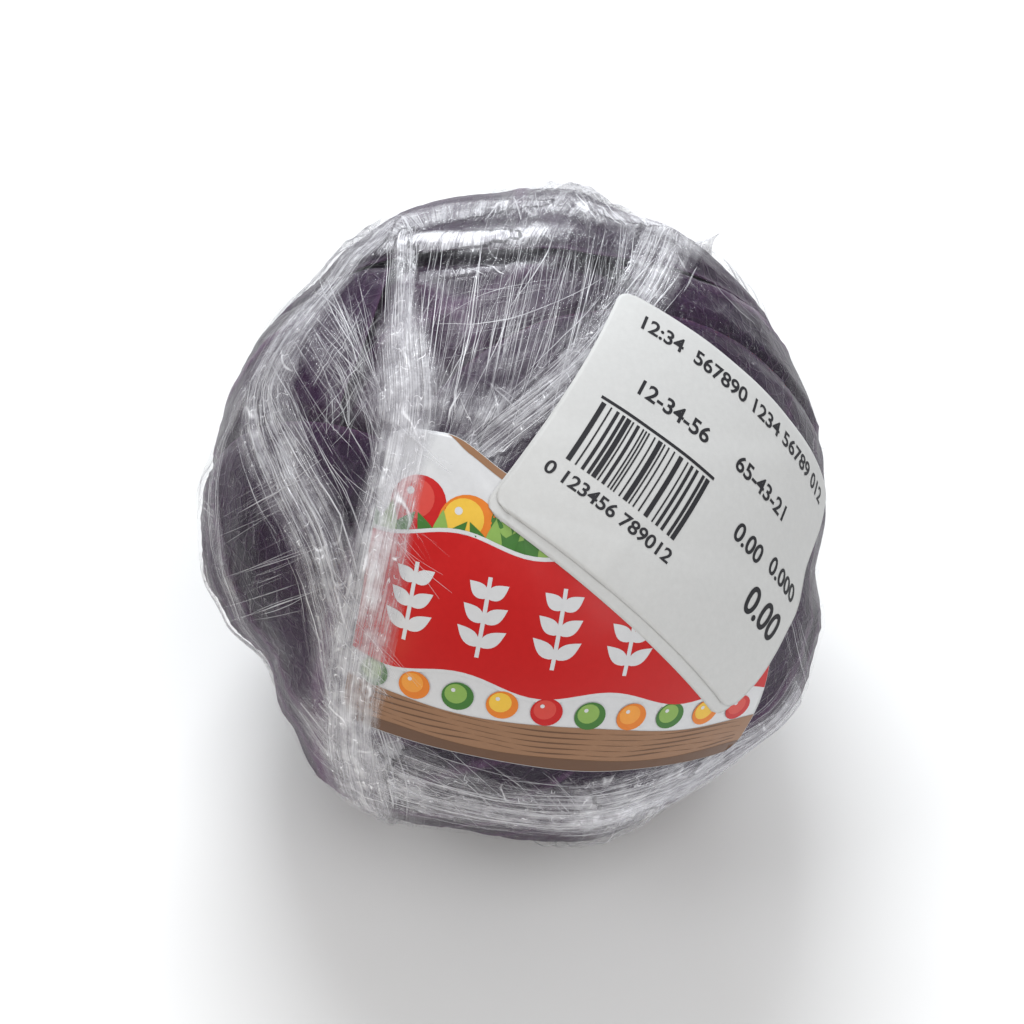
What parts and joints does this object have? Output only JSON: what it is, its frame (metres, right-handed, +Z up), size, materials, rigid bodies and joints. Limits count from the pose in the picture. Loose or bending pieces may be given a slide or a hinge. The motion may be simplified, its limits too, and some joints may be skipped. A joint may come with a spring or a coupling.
{
  "type": "cabbage head",
  "caption": "Red cabbage head of tight overlapping wrapper leaves, wrapped in clear stretch film with paper stickers, resting on its cut stalk",
  "frame": {"origin": "middle of the box's underside: the level of the cut stalk face that the head rests on", "axes": "+Z up along the stalk, -Y towards the side that carries the printed sticker, +X to the right of that side"},
  "size_m": [0.1255, 0.132, 0.1221],
  "materials": {
    "leaf": "dark purple leaf with a waxy bloom and paler veins",
    "heart": "purple inner leaf, pale at the cut stalk",
    "film": "clear glossy stretch film, milky where it is gathered",
    "printed_paper": "glossy printed sticker",
    "white_paper": "matt white thermal paper"
  },
  "bodies": {
    "root": {"heart_with_stalk": "heart", "wrapper_leaf_1": "leaf", "wrapper_leaf_2": "leaf", "wrapper_leaf_3": "leaf", "wrapper_leaf_4": "leaf", "wrapper_leaf_5": "leaf", "stretch_film": "film", "sticker_printed": "printed_paper", "sticker_price_under": "white_paper", "sticker_price": "white_paper"}
  },
  "joints": []
}
